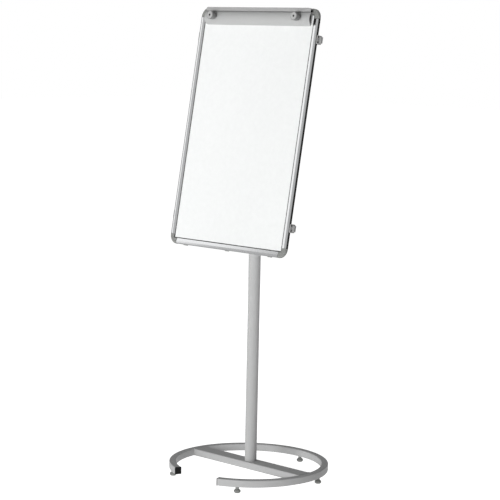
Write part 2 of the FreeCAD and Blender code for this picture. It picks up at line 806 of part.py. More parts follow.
def make_arms():
    """Sliding arms for used sheets, two to each side, with plastic end caps."""
    front = "(frame_depth + rail_wall + arm_gap)"
    for level, centre in (("lower", "rail_inset"), ("upper", "board_height - rail_inset")):
        for side, sign in (("left", -1), ("right", 1)):
            low = "(%s - arm_height / 2)" % centre
            middle = "%d * (%s - %s / 2)" % (sign, ARM_REACH, ARM_LENGTH)
            tube = bar(middle, front, low, ARM_LENGTH, "arm_depth", "arm_height")
            hollow = bar(middle, front + " + arm_wall", low + " + arm_wall", ARM_LENGTH + " + 2",
                         "arm_depth - 2 * arm_wall", "arm_height - 2 * arm_wall")
            node(cut(tube, hollow), "arm_%s_%s" % (level, side), BOARD)
            cap_length = "(board_width / 2 + arm_cap - %s)" % ARM_REACH
            cap_middle = "%d * (%s + %s / 2)" % (sign, ARM_REACH, cap_length)
            cap = bar(cap_middle, front, low, cap_length, "arm_depth", "arm_height")
            stem_middle = "%d * (%s - arm_cap_spigot / 2 + 1)" % (sign, ARM_REACH)
            stem = bar(stem_middle, front + " + arm_wall", low + " + arm_wall",
                       "arm_cap_spigot + 2", "arm_depth - 2 * arm_wall",
                       "arm_height - 2 * arm_wall")
            node(fuse(cap, stem), "arm_cap_%s_%s" % (level, side), BOARD)


CLAMP_LENGTH = "board_width - 2 * corner_leg + 2 * bar_overlap"
HINGE_UP = "(board_height - hinge_drop)"


def end_rounded(low, high, radius, test):
    """Slab across the whole depth, as long as the clamp, with two of its corners rounded."""
    body = new_body("slab")
    sketch = new_sketch(body, "XZ_Plane")
    half = "(%s) / 2" % CLAMP_LENGTH
    outline(sketch, rectangle("-" + half, low, half, high))
    pad(body, sketch, "4 * bar_bulge").Midplane = True
    fillet(body, radius, lambda edge: edge.BoundBox.YLength > 1
           and near(edge.CenterOfMass.z, value(test)))
    return body


def make_hinge_rail():
    """Cap strip along the top rail: a plate behind the pad and a groove that the bar turns in."""
    cap_low = "(%s - hinge_lip)" % HINGE_UP
    cap = bar("0", "-hinge_cap_depth", cap_low, CLAMP_LENGTH, "hinge_cap_depth",
              "board_height - " + cap_low)
    plate_low = "board_height - hinge_plate_height"
    plate = bar("0", "-hinge_plate", plate_low, CLAMP_LENGTH, "hinge_plate",
                "hinge_plate_height")
    slab = end_rounded(plate_low, "board_height", "hinge_end_round", "board_height")
    groove = rod("x", "-board_width / 2", "-hinge_out", HINGE_UP,
                 "hinge_bead_radius + running_gap", "board_width")
    node(cut(common(fuse(cap, plate), slab), groove), "hinge_rail", BOARD)


def knob_sides():
    return (("left", "-(board_width / 2 - pad_knob_inset)"),
            ("right", "(board_width / 2 - pad_knob_inset)"))


def make_clamp_bar():
    """Hollow convex bar that hangs from a bead in the hinge rail and holds the pad."""
    half = "(%s) / 2" % CLAMP_LENGTH
    centre_up = "(board_height - bar_centre_drop)"
    centre_back = "(bar_radius - bar_bulge)"
    low = "(board_height - bar_centre_drop - bar_radius)"
    outer = rod("x", "-" + half, centre_back, centre_up, "bar_radius", CLAMP_LENGTH)
    inner = rod("x", "-" + half, centre_back, centre_up, "bar_radius - bar_wall", CLAMP_LENGTH)
    top = HINGE_UP + " - hinge_lip - hinge_gap"
    keep = bar("0", "-bar_bulge", low, CLAMP_LENGTH,
               "bar_bulge + panel_front - running_gap", "%s - %s" % (top, low))
    bosses = []
    holes = []
    for _, x in knob_sides():
        up = "board_height - pad_knob_drop"
        bosses.append(rod("y", x, "-bar_bulge - bar_boss_rise", up, "bar_boss_radius",
                          "bar_boss_rise + bar_wall + 1"))
        holes.append(rod("y", x, "-2 * bar_bulge", up, "bar_hole_radius", "2 * bar_bulge"))
    neck = bar("0", "-hinge_out - bar_wall / 2", top + " - 3", CLAMP_LENGTH, "bar_wall",
               "hinge_lip + hinge_gap + 3")
    bead = rod("x", "-" + half, "-hinge_out", HINGE_UP, "hinge_bead_radius", CLAMP_LENGTH)
    shell = common(cut(outer, inner), keep)
    foot_up = "(%s - sqrt(bar_radius * bar_radius - (%s - panel_front + running_gap) ^ 2))" % (
        centre_up, centre_back)
    slab = end_rounded(foot_up, "board_height", "bar_end_round", foot_up)
    node(cut(common(fuse(shell, neck, bead, *bosses), slab), *holes), "clamp_bar", BOARD)

    caps = []
    for sign in (-1, 1):
        middle = "%d * (%s - bar_cap_recess - bar_cap / 2)" % (sign, half)
        window = bar(middle, "-bar_bulge", low + " + 12", "bar_cap", "bar_cap_gap",
                     "%s - 3 - running_gap - (%s + 12)" % (top, low))
        caps.append(common(window, rod("x", "-board_width / 2", centre_back, centre_up,
                                       "bar_radius - bar_wall", "board_width")))
    node(group(*caps), "bar_end_caps", BOARD)


def make_pad_knobs():
    """Studs that the pad hangs on and the two hand knobs that press the bar."""
    up = "(board_height - pad_knob_drop)"
    base_out = "(bar_bulge + bar_boss_rise + running_gap)"
    studs = []
    for side, x in knob_sides():
        length = base_out + " + pad_knob_depth - pad_stud_recess"
        studs.append(rod("y", x, "-(%s)" % length, up, "pad_stud_radius",
                         length + " - hinge_plate"))
        knob = hand_knob("pad_knob_radius", "pad_knob_depth", "pad_knob_lobes", FINE_FLUTES,
                         "pad_stud_radius", "0")
        bore = rod("z", "0", "0", "-1", "pad_stud_radius + shaft_gap", "pad_knob_depth + 2")
        start = Vector(value(x), -value(base_out), value(up))
        turn = Rotation(AXES["z"], AXES["y"] * -1)
        node(cut(knob, bore), "pad_knob_" + side, BOARD * Placement(start, turn))
    node(group(*studs), "pad_studs", BOARD)


def check_document():
    """Stop if any object of the document failed or any sub-part has no valid solid."""
    doc.recompute()
    for item in doc.Objects:
        if "Invalid" in item.State or "Error" in item.State:
            raise RuntimeError("%s (%s) failed: %s" % (item.Name, item.Label, item.State))
    for item in nodes:
        if item.Shape.isNull() or not item.Shape.isValid() or not item.Shape.Solids:
            raise RuntimeError("%s has no valid shape" % item.Label)


def export_nodes():
    os.makedirs("parts", exist_ok=True)
    for item in nodes:
        item.Shape.exportStep("parts/%s.step" % item.Label)


make_base_ring()
make_crossbar()
make_end_plugs()
make_feet()
make_column()
make_height_clamp()
make_mast()
make_tilt_hinge()
make_panel()
make_frame_rails()
make_edge_seals()
make_corners()
make_clips()
make_rear_rails()
make_board_bracket()
make_bezels()
make_arms()
make_hinge_rail()
make_clamp_bar()
make_pad_knobs()
check_document()
export_nodes()
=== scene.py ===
# %% [markdown]
# # A flipchart easel
#
# The construction comes from the CAD frame: every tube, rail and knob is there at its real size.
# Blender gives it its finishes, the small trim that the eye expects, soft studio light and a
# camera. Everything is in metres, with the origin on the floor under the column, +Z up and the
# board facing -Y.

# %% Load the frame
import json
import math

import bmesh
import bpy
from mathutils import Matrix, Vector


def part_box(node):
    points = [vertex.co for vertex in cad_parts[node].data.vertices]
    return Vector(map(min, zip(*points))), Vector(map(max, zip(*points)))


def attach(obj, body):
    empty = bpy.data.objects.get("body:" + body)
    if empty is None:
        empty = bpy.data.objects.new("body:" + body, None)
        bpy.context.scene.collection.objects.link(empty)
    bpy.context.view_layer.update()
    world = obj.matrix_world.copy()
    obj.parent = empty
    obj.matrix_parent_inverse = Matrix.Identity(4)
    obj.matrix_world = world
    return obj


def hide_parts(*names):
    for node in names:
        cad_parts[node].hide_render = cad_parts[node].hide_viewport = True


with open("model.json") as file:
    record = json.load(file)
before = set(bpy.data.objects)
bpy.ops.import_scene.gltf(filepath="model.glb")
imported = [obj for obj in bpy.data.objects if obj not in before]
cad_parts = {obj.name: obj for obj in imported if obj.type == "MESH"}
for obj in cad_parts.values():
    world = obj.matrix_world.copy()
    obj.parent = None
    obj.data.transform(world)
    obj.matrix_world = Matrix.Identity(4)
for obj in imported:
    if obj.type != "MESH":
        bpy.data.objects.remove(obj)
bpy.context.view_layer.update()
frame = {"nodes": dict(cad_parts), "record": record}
nodes = frame["nodes"]
print("nodes:", len(nodes))

# %% [markdown]
# ## Helpers for finishes
#
# A real finish is never one flat colour. Paint has a fine grain, moulded plastic has a mottled
# skin, drawn metal has lines along its length. Each finish below starts as a Principled shader
# and gets its grain from a Noise texture on Object coordinates, which stay fixed to the piece
# from every side. One helper makes the shader, and another adds the grain to its colour,
# roughness and bump, so that each finish is only a few numbers.

# %% A plain finish
def new_finish(name, metallic=0.0, specular=0.5):
    material = bpy.data.materials.new(name)
    material.use_nodes = True
    shader = material.node_tree.nodes["Principled BSDF"]
    shader.inputs["Metallic"].default_value = metallic
    shader.inputs["Specular IOR Level"].default_value = specular
    return material


# %% Adding nodes and linking them
def add_node(owner, kind, **values):
    """Add a node to a material or a world; To_Min=0.1 sets its socket "To Min"."""
    node = owner.node_tree.nodes.new(kind)
    for name, value in values.items():
        node.inputs[name.replace("_", " ")].default_value = value
    return node


def add_math(owner, operation):
    node = add_node(owner, "ShaderNodeMath")
    node.operation = operation
    return node


def link(owner, source, output, target, socket):
    owner.node_tree.links.new(source.outputs[output], target.inputs[socket])


# %% Grain in colour, roughness and bump
GRAIN_DARK, GRAIN_LIGHT = 0.35, 0.65  # the noise values that give the two colours


def add_grain(material, dark, light, size, rough, bump, stretch=(1, 1, 1)):
    """Mottle a finish between two colours and across a range of roughness.

    The grains are about size metres across, and bump is their height in metres."""
    shader = material.node_tree.nodes["Principled BSDF"]
    place = add_node(material, "ShaderNodeTexCoord")
    scale = add_node(material, "ShaderNodeMapping", Scale=stretch)
    noise = add_node(material, "ShaderNodeTexNoise", Scale=1 / size, Detail=3.0, Roughness=0.6)
    link(material, place, "Object", scale, "Vector")
    link(material, scale, "Vector", noise, "Vector")
    ramp = add_node(material, "ShaderNodeValToRGB")
    low, high = ramp.color_ramp.elements
    low.position, high.position = GRAIN_DARK, GRAIN_LIGHT
    low.color, high.color = (*dark, 1), (*light, 1)
    link(material, noise, "Fac", ramp, "Fac")
    link(material, ramp, "Color", shader, "Base Color")
    spread = add_node(material, "ShaderNodeMapRange", To_Min=rough[0], To_Max=rough[1])
    link(material, noise, "Fac", spread, "Value")
    link(material, spread, "Result", shader, "Roughness")
    relief = add_node(material, "ShaderNodeBump", Strength=1.0, Distance=bump)
    link(material, noise, "Fac", relief, "Height")
    link(material, relief, "Normal", shader, "Normal")
    return material


def grey(level, tint=(1.0, 1.0, 1.0)):
    """A grey as red, green and blue, leaning a little to one of them by its tint."""
    return tuple(level * part for part in tint)


# %% [markdown]
# ## The finishes
#
# The base and the column are steel tube with a silver powder coat: light grey, with a fine
# grain. The column's coat is satin, and the base's is duller. The rails are drawn aluminium, so
# their grain is stretched along the length. The writing surface is white enamel on steel, smooth
# and glossy. Corners, feet, knobs and arm ends are grey moulded plastic with a mottled skin, and
# the plugs and bushes are black.

# %% Paint and metal
silver_paint = add_grain(
    new_finish("silver_paint", specular=0.12), grey(0.46), grey(0.51, tint=(0.99, 1.0, 1.0)),
    size=0.0012, rough=(0.5, 0.6), bump=0.00002)
base_paint = add_grain(
    new_finish("base_paint", specular=0.02), grey(0.46), grey(0.51, tint=(0.99, 1.0, 1.0)),
    size=0.0012, rough=(0.6, 0.7), bump=0.00002)
bright_rail = add_grain(
    new_finish("bright_rail", metallic=1.0), grey(0.37), grey(0.43, tint=(0.98, 1.0, 1.02)),
    size=0.0006, rough=(0.11, 0.18), bump=0.000004, stretch=(1, 1, 0.02))
# Painted highlight: the left rail is the same aluminium, painted a little lighter than the
# others.
left_rail_painted_lighter = add_grain(
    new_finish("left_rail_painted_lighter", metallic=1.0), grey(0.40), grey(0.46, tint=(0.98, 1.0, 1.02)),
    size=0.0006, rough=(0.11, 0.18), bump=0.000004, stretch=(1, 1, 0.02))
satin_rail = add_grain(
    new_finish("satin_rail", specular=0.2), grey(0.37), grey(0.42),
    size=0.0006, rough=(0.36, 0.48), bump=0.000004, stretch=(0.02, 1, 1))
clamp_paint = add_grain(
    new_finish("clamp_paint", specular=0.15), grey(0.42), grey(0.47, tint=(0.98, 1.0, 0.99)),
    size=0.001, rough=(0.4, 0.5), bump=0.00001)
white_enamel = add_grain(
    new_finish("white_enamel"), grey(0.83, tint=(0.985, 1.0, 0.995)),
    grey(0.85, tint=(0.985, 1.0, 0.995)), size=0.02, rough=(0.12, 0.2), bump=0.00002)
back_paint = add_grain(
    new_finish("back_paint", specular=0.2), grey(0.50), grey(0.55),
    size=0.0015, rough=(0.4, 0.5), bump=0.00002)
zinc = add_grain(
    new_finish("zinc", metallic=1.0), grey(0.42, tint=(1.0, 1.0, 0.97)), grey(0.55),
    size=0.003, rough=(0.28, 0.42), bump=0.00001)
print("materials with paint and metal:", len(bpy.data.materials))

# %% Plastic, rubber and fibreboard
grey_plastic = add_grain(
    new_finish("grey_plastic", specular=0.4), grey(0.15, tint=(0.98, 1.0, 0.96)),
    grey(0.31, tint=(0.98, 1.0, 0.96)), size=0.003, rough=(0.45, 0.6), bump=0.0001)
arm_plastic = add_grain(
    new_finish("arm_plastic", specular=0.3), grey(0.30), grey(0.37),
    size=0.0012, rough=(0.4, 0.55), bump=0.00004)
# Partly painted shade: the knobs' grey is darker than their caps, for the shade on their flanks.
knob_plastic_and_shade = add_grain(
    new_finish("knob_plastic_and_shade", specular=0.3), grey(0.20), grey(0.26),
    size=0.0012, rough=(0.4, 0.5), bump=0.00003)
cap_plastic = add_grain(
    new_finish("cap_plastic", specular=0.3), grey(0.40), grey(0.46),
    size=0.0012, rough=(0.4, 0.5), bump=0.00002)
black_plastic = add_grain(
    new_finish("black_plastic", specular=0.15), grey(0.004), grey(0.012),
    size=0.0008, rough=(0.5, 0.65), bump=0.00003)
# Near black: real rubber on the wiper ring, and painted shade on the edge seals, the bar's end
# caps and the corner shims, for the shade in the rails' sides, the bar's open ends and the
# joints.
rubber_and_painted_shade = add_grain(
    new_finish("rubber_and_painted_shade", specular=0.1), grey(0.010), grey(0.022),
    size=0.0006, rough=(0.7, 0.85), bump=0.00002)
# Painted shade: the dark grey of the strip in the hinge's gap stands for the shade there.
hinge_gap_painted_shade = add_grain(
    new_finish("hinge_gap_painted_shade", specular=0.1), grey(0.16), grey(0.21),
    size=0.0006, rough=(0.7, 0.85), bump=0.00002)
gasket_rubber = add_grain(
    new_finish("gasket_rubber", specular=0.1), grey(0.05), grey(0.08),
    size=0.0006, rough=(0.7, 0.85), bump=0.00002)
fibre_core = add_grain(
    new_finish("fibre_core", specular=0.2), (0.36, 0.26, 0.16), (0.50, 0.38, 0.25),
    size=0.0015, rough=(0.75, 0.9), bump=0.0001)
print("materials with plastic, rubber and fibreboard:", len(bpy.data.materials))

# %% [markdown]
# ## Painted shade on the rails
#
# The outer sides of the upright rails carry a band of painted shade: a near black that stands
# for the shade and dark reflection there, and runs on into the near-black seal behind it. The
# band starts on the rounded edge, a little nearer to the middle of the board on the left rail.
# It is
# laid by the distance from that middle: the Absolute value of X, spread by a Map Range, mixes a
# near black into the rail's own colour.

# %% Paint the shade band onto the rails' outer sides
def add_painted_shade_band(material, start, end, colour):
    """Paint shade: mix in a colour beyond a distance from the middle, across the piece."""
    shader = material.node_tree.nodes["Principled BSDF"]
    grain = shader.inputs["Base Color"].links[0].from_node
    place = add_node(material, "ShaderNodeTexCoord")
    split = add_node(material, "ShaderNodeSeparateXYZ")
    link(material, place, "Object", split, "Vector")
    distance = add_math(material, "ABSOLUTE")
    link(material, split, "X", distance, "Value")
    painted_shade_band = add_node(material, "ShaderNodeMapRange", From_Min=start, From_Max=end)
    link(material, distance, "Value", painted_shade_band, "Value")
    blend = material.node_tree.nodes.new("ShaderNodeMixRGB")
    blend.inputs["Color2"].default_value = (*colour, 1)
    link(material, painted_shade_band, "Result", blend, "Fac")
    link(material, grain, "Color", blend, "Color1")
    link(material, blend, "Color", shader, "Base Color")


# Painted shade: near-black bands on the outer rounded edges of the upright rails.
add_painted_shade_band(left_rail_painted_lighter, start=0.3254, end=0.3266, colour=grey(0.04))
add_painted_shade_band(bright_rail, start=0.3300, end=0.3314, colour=grey(0.02))
print("film on:", left_rail_painted_lighter.name, bright_rail.name)

# %% [markdown]
# ## Dressing the frame
#
# Each node of the frame is one real piece, already in its shape and place, and takes one finish
# for all of it. A table from finish to nodes says at a glance what is made of what.

# %% Give each node its finish
FINISH_OF = {
    base_paint: ("base_ring", "crossbar"),
    silver_paint: ("column_tube", "inner_tube", "rear_spine", "board_bracket"),
    bright_rail: ("frame_right", "frame_top", "frame_bottom"),
    left_rail_painted_lighter: ("frame_left",),
    satin_rail: ("hinge_rail", "rear_rail_lower", "rear_rail_upper", "arm_upper_left",
                 "arm_upper_right", "arm_lower_left", "arm_lower_right"),
    clamp_paint: ("clamp_bar",),
    white_enamel: ("writing_surface",),
    grey_plastic: ("corner_bottom_left", "corner_top_left", "corner_top_right",
                   "corner_bottom_right", "clips_top", "clips_bottom", "foot_1", "foot_2",
                   "foot_3", "foot_4", "foot_5", "height_collar", "head_block"),
    arm_plastic: ("arm_cap_upper_left", "arm_cap_upper_right", "arm_cap_lower_left",
                  "arm_cap_lower_right", "rail_bezels"),
    # Painted shade: the edge seals and the bar's end caps are near black for the shade there.
    rubber_and_painted_shade: ("edge_seals", "bar_end_caps"),
    knob_plastic_and_shade: ("pad_knob_left", "pad_knob_right"),
    black_plastic: ("end_plug_left", "end_plug_right", "glide_bush", "mast_guide",
                    "height_knob", "tilt_knob"),
    zinc: ("foot_inserts", "column_spigot", "column_bolt", "tilt_bolt", "tilt_washers",
           "bracket_screws", "pad_studs"),
    back_paint: ("back_sheet",),
    fibre_core: ("board_core",),
}
for finish, names in FINISH_OF.items():
    for name in names:
        nodes[name].data.materials.clear()
        nodes[name].data.materials.append(finish)
print("dressed:", sum(len(names) for names in FINISH_OF.values()))

# %% [markdown]
# ## Helpers for new pieces
#
# The board leans back, so everything on it is easiest to model upright: a piece is made in the
# board's own directions (x across, y from the front to the back, z up the board) and then laid
# into its lean by one matrix. The joints' places come from the record. Each piece ends with its
# place in its mesh, and rides on one body of the frame.

# %% The board's own directions
def joint_place(name):
    joints = frame["record"]["behaviour"]["joints"]
    return Vector(next(joint["pos_m"] for joint in joints if joint["name"] == name))


def turned(degrees, axis):
    return Matrix.Rotation(math.radians(degrees), 4, axis)


PIVOT = joint_place("board_tilt")
PIVOT_ON_BOARD = Vector((0, 0.066, 0.637))
LEAN_DEGREES = 10
ON_BOARD = (Matrix.Translation(PIVOT) @ turned(-LEAN_DEGREES, "X")
            @ Matrix.Translation(-PIVOT_ON_BOARD))
BOARD_WIDTH, BOARD_HEIGHT = 0.664, 1.000
HALF_WIDTH = BOARD_WIDTH / 2
FRAME_FACE, FRAME_DEPTH = 0.024, 0.012
RUNNING_GAP = 0.0003
print("pivot:", tuple(round(part, 4) for part in PIVOT))


# %% Selecting
def fresh():
    """Leave edit mode with nothing selected, so that the next operator acts on one piece."""
    if bpy.context.object and bpy.context.object.mode == "EDIT":
        bpy.ops.object.mode_set(mode="OBJECT")
    bpy.ops.object.select_all(action="DESELECT")


def grab(piece):
    """Select one piece alone and make it the active one."""
    fresh()
    piece.select_set(True)
    bpy.context.view_layer.objects.active = piece


def edit(piece):
    grab(piece)
    bpy.ops.object.mode_set(mode="EDIT")


def choose(piece, kind, test):
    """Select only the faces or edges whose middle passes a test."""
    bpy.ops.mesh.select_all(action="DESELECT")
    bpy.ops.mesh.select_mode(type=kind)
    mesh = bmesh.from_edit_mesh(piece.data)
    parts = mesh.faces if kind == "FACE" else mesh.edges
    for part in parts:
        middle = sum((corner.co for corner in part.verts), Vector()) / len(part.verts)
        part.select_set(test(part, middle))
    bmesh.update_edit_mesh(piece.data)


# %% Settling a piece into its place
def settle(piece, place=Matrix()):
    """Lay a piece into its place and put that place into its mesh."""
    grab(piece)
    piece.matrix_world = place @ piece.matrix_world
    bpy.ops.object.transform_apply(location=True, rotation=True, scale=True)
    return piece


UPRIGHT, FRONTWARDS, SIDEWAYS = (0, 0, 0), (math.radians(90), 0, 0), (0, math.radians(90), 0)


def add_cylinder(radius, depth, location, rotation, vertices=32):
    """Add a cylinder whose axis points along one of the three directions above."""
    fresh()
    bpy.ops.mesh.primitive_cylinder_add(vertices=vertices, radius=radius, depth=depth,
                                        location=location, rotation=rotation)
    return settle(bpy.context.object)


# %% Copying, joining and finishing
SMOOTH_UNDER = math.radians(35)


def keep(piece, name, finish, body):
    """Name a finished piece, dress it, smooth its round faces and let it ride on a body."""
    edit(piece)
    bpy.ops.mesh.select_all(action="SELECT")
    bpy.ops.mesh.remove_doubles(threshold=0.00001)
    bpy.ops.mesh.normals_make_consistent(inside=False)
    grab(piece)
    bpy.ops.object.shade_smooth_by_angle(angle=SMOOTH_UNDER)
    piece.name = name
    piece.data.materials.clear()
    piece.data.materials.append(finish)
    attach(piece, body)
    return piece


def copied(piece, place):
    """Copy a modelled piece with its own mesh, laid into another place."""
    twin = piece.copy()
    twin.data = piece.data.copy()
    bpy.context.collection.objects.link(twin)
    return settle(twin, place)


def joined(pieces):
    """Join pieces that belong together into one."""
    fresh()
    for piece in pieces:
        piece.select_set(True)
    bpy.context.view_layer.objects.active = pieces[0]
    bpy.ops.object.join()
    return pieces[0]


# %% [markdown]
# ## The gasket round the writing surface
#
# A soft dark strip fills the corner between the enamelled sheet and the rails' inner lips, and
# reads as a thin line round the white. A plane of the opening's size is inset by the strip's
# width, its middle is deleted, and the border that is left is extruded to a low bead whose
# upper edges are bevelled.

# %% Model the gasket
PANEL_FRONT = 0.003
GASKET_WIDTH, GASKET_RISE, GASKET_ROUND = 0.0038, 0.001, 0.0006
fresh()
bpy.ops.mesh.primitive_plane_add(size=1, rotation=FRONTWARDS,
                                 location=(0, PANEL_FRONT, BOARD_HEIGHT / 2))
gasket = bpy.context.object
gasket.scale = (BOARD_WIDTH - 2 * FRAME_FACE, BOARD_HEIGHT - 2 * FRAME_FACE, 1)
settle(gasket)
edit(gasket)
bpy.ops.mesh.select_all(action="SELECT")
bpy.ops.mesh.inset(thickness=GASKET_WIDTH, depth=0)
bpy.ops.mesh.delete(type="FACE")
bpy.ops.mesh.select_all(action="SELECT")
bpy.ops.mesh.extrude_region_move(TRANSFORM_OT_translate={"value": (0, -GASKET_RISE, 0)})
choose(gasket, "EDGE", lambda edge, middle: middle.y < PANEL_FRONT - 0.9 * GASKET_RISE
       and edge.is_manifold and edge.calc_face_angle(0) > 1)
bpy.ops.mesh.bevel(offset=GASKET_ROUND, segments=3, affect="EDGES")
settle(gasket, ON_BOARD)
keep(gasket, "surface_gasket", gasket_rubber, "board")
print("gasket faces:", len(gasket.data.polygons))

# %% [markdown]
# ## Shims between rails and corners
#
# Where a rail meets a corner piece a thin black shim closes the joint, as painted shade for the
# dark gap there. It has the rail's own section: a box is split down the middle of its face by
# the
# Bisect operator, its inner front edge is moved back for the rail's slope, and its outer front
# edge is rounded by a bevel. It is modelled once, at the start of a rail, and copied to both
# ends of all four rails.

# %% Model the shim
SHIM_THICK, SHIM_PROUD, SHIM_FORWARD, SHIM_EDGE = 0.0010, 0.0003, 0.0001, 0.0002
RAIL_SLOPE, RAIL_ROUND = 0.0022, 0.0052
fresh()
bpy.ops.mesh.primitive_cube_add(
    size=1, location=(FRAME_FACE / 2, FRAME_DEPTH / 2 - SHIM_FORWARD, 0))
shim = bpy.context.object
shim.scale = (FRAME_FACE + 2 * SHIM_PROUD, FRAME_DEPTH + 2 * SHIM_PROUD, SHIM_THICK)
settle(shim)
edit(shim)
bpy.ops.mesh.select_all(action="SELECT")
bpy.ops.mesh.bisect(plane_co=(FRAME_FACE / 2, 0, 0), plane_no=(1, 0, 0))
choose(shim, "EDGE", lambda edge, middle: middle.x > FRAME_FACE and middle.y < 0)
bpy.ops.transform.translate(value=(0, RAIL_SLOPE, 0))
choose(shim, "EDGE", lambda edge, middle: middle.x < 0 and middle.y < 0)
bpy.ops.mesh.bevel(offset=RAIL_ROUND, segments=8, affect="EDGES")
choose(shim, "EDGE", lambda edge, middle: abs(middle.z) > 0.4 * SHIM_THICK)
bpy.ops.mesh.bevel(offset=SHIM_EDGE, segments=1, affect="EDGES")
fresh()
print("shim faces:", len(shim.data.polygons))

# %% Copy it to the eight joints
CORNER_LEG = 0.040
RAIL_END = HALF_WIDTH - CORNER_LEG
UPRIGHT_RAIL, LEVEL_RAIL = BOARD_HEIGHT - 2 * CORNER_LEG, 2 * RAIL_END
RAIL_STARTS = (((-HALF_WIDTH, 0, CORNER_LEG), 0, UPRIGHT_RAIL),
               ((HALF_WIDTH, 0, BOARD_HEIGHT - CORNER_LEG), 180, UPRIGHT_RAIL),
               ((RAIL_END, 0, 0), -90, LEVEL_RAIL),
               ((-RAIL_END, 0, BOARD_HEIGHT), 90, LEVEL_RAIL))
shims = []
for start, angle, length in RAIL_STARTS:
    along_rail = Matrix.Translation(start) @ turned(angle, "Y")
    for end in (0, length):
        shims.append(copied(shim, ON_BOARD @ along_rail @ Matrix.Translation((0, 0, end))))
bpy.data.objects.remove(shim)
keep(joined(shims), "corner_shims", rubber_and_painted_shade, "board")
print("shims:", len(shims))

# %% [markdown]
# ## Screws
#
# Pan-head screws hold the rear rails and the bezels. A helper models a head of either size: a
# low cylinder whose top edge is bevelled to a dome, with a cross recess made by two thin boxes
# and a Boolean modifier. The head points along -Y and stands on its own origin.

# %% Model one screw head
DOME = 0.6  # in heights of the head
CROSS_LENGTH, CROSS_WIDTH = 1.2, 0.28  # in radii of the head


def make_screw(radius, height):
    head = add_cylinder(radius, height, (0, -height / 2, 0), FRONTWARDS, vertices=28)
    edit(head)
    choose(head, "EDGE", lambda edge, middle: middle.y < -0.9 * height)
    bpy.ops.mesh.bevel(offset=DOME * height, segments=4, affect="EDGES")
    for across, tall in ((CROSS_LENGTH, CROSS_WIDTH), (CROSS_WIDTH, CROSS_LENGTH)):
        fresh()
        bpy.ops.mesh.primitive_cube_add(size=1, location=(0, -height, 0))
        slot = bpy.context.object
        slot.scale = (across * radius, height, tall * radius)
        settle(slot)
        recess = head.modifiers.new("recess", "BOOLEAN")
        recess.operation = "DIFFERENCE"
        recess.solver = "EXACT"
        recess.object = slot
        grab(head)
        bpy.ops.object.modifier_apply(modifier="recess")
        bpy.data.objects.remove(slot)
    return head


# %% Screws of the rear rails
RAIL_INSET, REAR_RAIL_DEPTH = 0.1225, 0.0198
RAIL_CENTRES = (RAIL_INSET, BOARD_HEIGHT - RAIL_INSET)
RAIL_SCREWS_ACROSS = (-0.319, -0.16, 0.16, 0.319)
FACING_BACK = turned(180, "Z")
screw = make_screw(radius=0.0045, height=0.0024)
rail_screws = []
for up in RAIL_CENTRES:
    for across in RAIL_SCREWS_ACROSS:
        place = Matrix.Translation((across, FRAME_DEPTH + REAR_RAIL_DEPTH, up)) @ FACING_BACK
        rail_screws.append(copied(screw, ON_BOARD @ place))
bpy.data.objects.remove(screw)
keep(joined(rail_screws), "rail_screws", zinc, "board")
print("rail screws:", len(rail_screws))

# %% Screws of the bezels
BEZEL_THICK, BEZEL_MIDDLE, BEZEL_SCREW_LIFT = 0.004, 0.0095, 0.0105
small_screw = make_screw(radius=0.0028, height=0.0014)
bezel_screws = []
for up in RAIL_CENTRES:
    for side in (-1, 1):
        for lift in (-BEZEL_SCREW_LIFT, BEZEL_SCREW_LIFT):
            place = (Matrix.Translation((side * (HALF_WIDTH + BEZEL_THICK), BEZEL_MIDDLE,
                                         up + lift)) @ turned(90 * side, "Z"))
            bezel_screws.append(copied(small_screw, ON_BOARD @ place))
bpy.data.objects.remove(small_screw)
keep(joined(bezel_screws), "bezel_screws", black_plastic, "board")
print("bezel screws:", len(bezel_screws))

# %% [markdown]
# ## Caps on the pad knobs
#
# Each pad knob carries a pale round cap with a small dark hole in which the stud's end shows.
# The cap is a disc. Its front face is inset to a shallow dish, inset again to the hole's edge
# and pushed in for the hole, and the rim is bevelled.

# %% Model a cap
CAP_RIM, DISH_DEPTH, HOLE_SLOPE = 0.2, 0.0003, 0.0001  # the rim is a share of the radius
HOLE_DEPTH, CAP_ROUND = 0.6, 0.4  # in thicknesses of the cap


def make_cap(radius, thick, hole):
    """Make a round cap that faces -Y and has its back on its origin."""
    cap = add_cylinder(radius, thick, (0, -thick / 2, 0), FRONTWARDS, vertices=48)
    edit(cap)
    choose(cap, "FACE", lambda face, middle: face.normal.y < -0.9)
    bpy.ops.mesh.inset(thickness=CAP_RIM * radius, depth=-DISH_DEPTH)
    bpy.ops.mesh.inset(thickness=(1 - CAP_RIM) * radius - hole, depth=0)
    bpy.ops.mesh.inset(thickness=HOLE_SLOPE, depth=-HOLE_DEPTH * thick)
    choose(cap, "EDGE", lambda edge, middle: middle.y < -0.99 * thick
           and math.hypot(middle.x, middle.z) > 0.98 * radius)
    bpy.ops.mesh.bevel(offset=CAP_ROUND * thick, segments=3, affect="EDGES")
    fresh()
    return cap


# %% Place the caps on the two knobs
CLAMP_BULGE, CLAMP_BOSS, PAD_KNOB_DEPTH = 0.016, 0.0005, 0.028
PAD_KNOB_INSET, PAD_KNOB_DROP = 0.095, 0.039
PAD_KNOB_OUT = CLAMP_BULGE + CLAMP_BOSS + RUNNING_GAP + PAD_KNOB_DEPTH
PAD_KNOB_FACES = {
    side: ON_BOARD @ Matrix.Translation((sign * (HALF_WIDTH - PAD_KNOB_INSET), -PAD_KNOB_OUT,
                                         BOARD_HEIGHT - PAD_KNOB_DROP))
    for side, sign in (("left", -1), ("right", 1))}
cap = make_cap(radius=0.0148, thick=0.0012, hole=0.0045)
for side, place in PAD_KNOB_FACES.items():
    keep(copied(cap, place), "pad_knob_cap_" + side, cap_plastic, "pad_knob_" + side)
bpy.data.objects.remove(cap)
print("pad knob caps:", len(PAD_KNOB_FACES))

